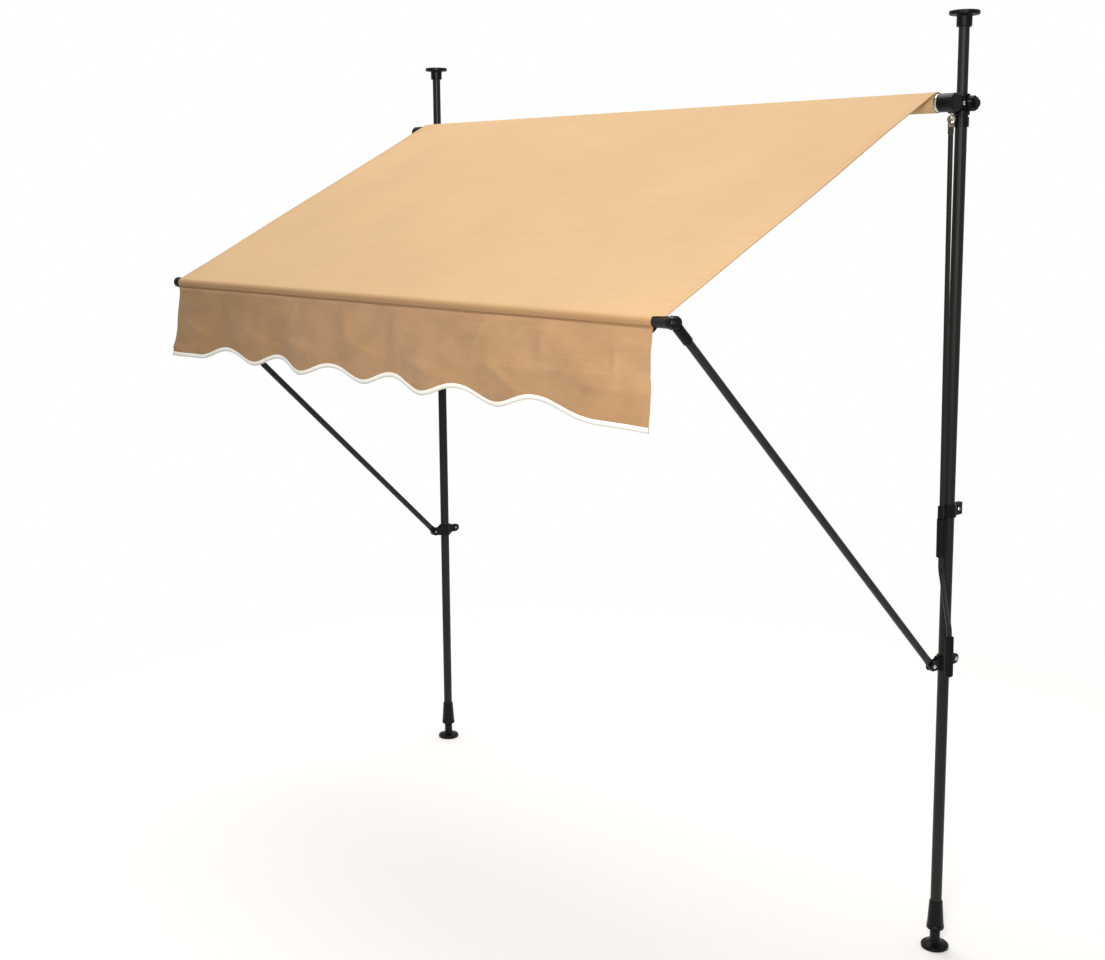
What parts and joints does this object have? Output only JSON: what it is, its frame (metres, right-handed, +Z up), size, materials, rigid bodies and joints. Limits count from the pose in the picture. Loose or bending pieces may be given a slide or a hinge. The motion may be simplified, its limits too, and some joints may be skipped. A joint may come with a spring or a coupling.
{
  "type": "fabric awning",
  "caption": "Awning on telescopic posts clamped between floor and ceiling, with a cranked roller, drop arms and a scalloped valance.",
  "frame": {"origin": "on the floor, midway between the axes of the two posts", "axes": "+Z up, -Y towards the street side where the cloth runs out, +X to the post with the crank"},
  "size_m": [2.1655, 1.0766, 2.312],
  "materials": {
    "dark_coated_tube": "satin powder coat",
    "black_moulding": "fine grained moulding",
    "bright_zinc": "bright zinc plate",
    "gear_bronze": "machined",
    "sand_canvas": "woven awning cloth",
    "valance_canvas": "woven awning cloth",
    "white_binding": "woven tape",
    "grip_plastic": "smooth moulding"
  },
  "bodies": {
    "posts": {"main_tube_left": "dark_coated_tube", "main_tube_right": "dark_coated_tube", "head_bracket_left": "black_moulding", "head_bracket_right": "black_moulding", "clamp_outer_left": "black_moulding", "clamp_inner_left": "black_moulding", "clamp_outer_right": "black_moulding", "clamp_inner_right": "black_moulding", "arm_pivot_bolt_left": "bright_zinc", "arm_pivot_bolt_right": "bright_zinc", "clamp_bolt_left": "bright_zinc", "clamp_bolt_right": "bright_zinc", "foot_guide_left": "black_moulding", "foot_guide_right": "black_moulding", "gear_housing": "black_moulding", "gear_cover": "black_moulding", "worm_shaft": "bright_zinc", "gear_bolt": "bright_zinc", "crank_holder": "black_moulding", "holder_screw": "bright_zinc", "canopy": "sand_canvas"},
    "upper_post_left": {"upper_tube_left": "dark_coated_tube", "ceiling_pad_left": "black_moulding"},
    "upper_post_right": {"upper_tube_right": "dark_coated_tube", "ceiling_pad_right": "black_moulding"},
    "foot_left": {"foot_pad_left": "black_moulding", "foot_spindle_left": "black_moulding"},
    "foot_right": {"foot_pad_right": "black_moulding", "foot_spindle_right": "black_moulding"},
    "foot_nut_left": {"foot_nut_left": "black_moulding"},
    "foot_nut_right": {"foot_nut_right": "black_moulding"},
    "lock_knob_left": {"lock_knob_left": "black_moulding"},
    "lock_knob_right": {"lock_knob_right": "black_moulding"},
    "arm_left": {"arm_tube_left": "dark_coated_tube", "arm_tongue_left": "black_moulding", "arm_head_left": "black_moulding"},
    "arm_right": {"arm_tube_right": "dark_coated_tube", "arm_tongue_right": "black_moulding", "arm_head_right": "black_moulding"},
    "front_bar": {"front_bar": "dark_coated_tube", "bar_plug_left": "black_moulding", "bar_plug_right": "black_moulding", "pivot_cap_left": "black_moulding", "pivot_cap_right": "black_moulding", "hem_sleeve": "sand_canvas", "valance": "valance_canvas", "valance_binding": "white_binding"},
    "roller": {"roller_tube": "bright_zinc", "roller_plug_left": "bright_zinc", "roller_plug_right": "bright_zinc", "roller_end_disc": "bright_zinc", "fabric_roll": "sand_canvas", "worm_wheel": "gear_bronze"},
    "crank": {"crank_rod": "dark_coated_tube", "crank_clevis": "bright_zinc"},
    "crank_grip_upper": {"crank_grip_upper": "grip_plastic"},
    "crank_grip_lower": {"crank_grip_lower": "grip_plastic"}
  },
  "joints": [
    {"name": "arm_right_swing", "type": "hinge", "parent": "posts", "child": "arm_right", "pos_m": [0.996, -0.0466, 0.7486], "axis": [-1, 0, 0], "range_deg": [-14.3, 41.7], "deforming": ["canopy"]},
    {"name": "arm_left_swing", "type": "hinge", "parent": "posts", "child": "arm_left", "pos_m": [-0.996, -0.0466, 0.7486], "axis": [-1, 0, 0], "range_deg": [-14.3, 41.7]},
    {"name": "front_bar_turn", "type": "hinge", "parent": "arm_right", "child": "front_bar", "pos_m": [0.996, -0.96937, 1.65004], "axis": [-1, 0, 0], "range_deg": [-41.7, 14.3]},
    {"name": "roller_turn", "type": "hinge", "parent": "posts", "child": "roller", "pos_m": [0, -0.0746, 2.1], "axis": [-1, 0, 0], "range_deg": [-758.9, 2211.1]},
    {"name": "upper_post_left_slide", "type": "slide", "parent": "posts", "child": "upper_post_left", "axis": [0, 0, 1], "range_m": [-0.145, 0.6]},
    {"name": "foot_nut_left_turn", "type": "hinge", "parent": "posts", "child": "foot_nut_left", "pos_m": [-1, 0, 0.08], "axis": [0, 0, 1], "range_deg": [-315, 3600]},
    {"name": "foot_left_slide", "type": "slide", "parent": "posts", "child": "foot_left", "axis": [0, 0, -1], "range_m": [-0.0036, 0.0401]},
    {"name": "lock_knob_left_turn", "type": "hinge", "parent": "posts", "child": "lock_knob_left", "pos_m": [-1, 0, 2.1], "axis": [-1, 0, 0], "range_deg": [0, 720]},
    {"name": "upper_post_right_slide", "type": "slide", "parent": "posts", "child": "upper_post_right", "axis": [0, 0, 1], "range_m": [-0.145, 0.6]},
    {"name": "foot_nut_right_turn", "type": "hinge", "parent": "posts", "child": "foot_nut_right", "pos_m": [1, 0, 0.08], "axis": [0, 0, 1], "range_deg": [-315, 3600]},
    {"name": "foot_right_slide", "type": "slide", "parent": "posts", "child": "foot_right", "axis": [0, 0, -1], "range_m": [-0.0036, 0.0401]},
    {"name": "lock_knob_right_turn", "type": "hinge", "parent": "posts", "child": "lock_knob_right", "pos_m": [1, 0, 2.1], "axis": [1, 0, 0], "range_deg": [0, 720]},
    {"name": "crank_swing", "type": "hinge", "parent": "posts", "child": "crank", "pos_m": [1.0128, -0.0618, 2.062], "axis": [0, -1, 0], "range_deg": [0, 75]},
    {"name": "crank_grip_upper_turn", "type": "hinge", "parent": "crank", "child": "crank_grip_upper", "pos_m": [0.9992, -0.0262, 0.99], "axis": [0.0131, -0.0343, 0.9993], "continuous": true},
    {"name": "crank_grip_lower_turn", "type": "hinge", "parent": "crank", "child": "crank_grip_lower", "pos_m": [1.1114, -0.15391, 0.885], "axis": [0.0131, -0.0343, 0.9993], "continuous": true}
  ],
  "couplings": [
    {"joint": "arm_left_swing", "follows": "arm_right_swing", "ratio": 1},
    {"joint": "front_bar_turn", "follows": "arm_right_swing", "ratio": -1},
    {"joint": "roller_turn", "follows": "arm_right_swing", "ratio": 53},
    {"joint": "foot_left_slide", "follows": "foot_nut_left_turn", "m_per_rad": 0.00063662},
    {"joint": "foot_right_slide", "follows": "foot_nut_right_turn", "m_per_rad": 0.00063662}
  ]
}
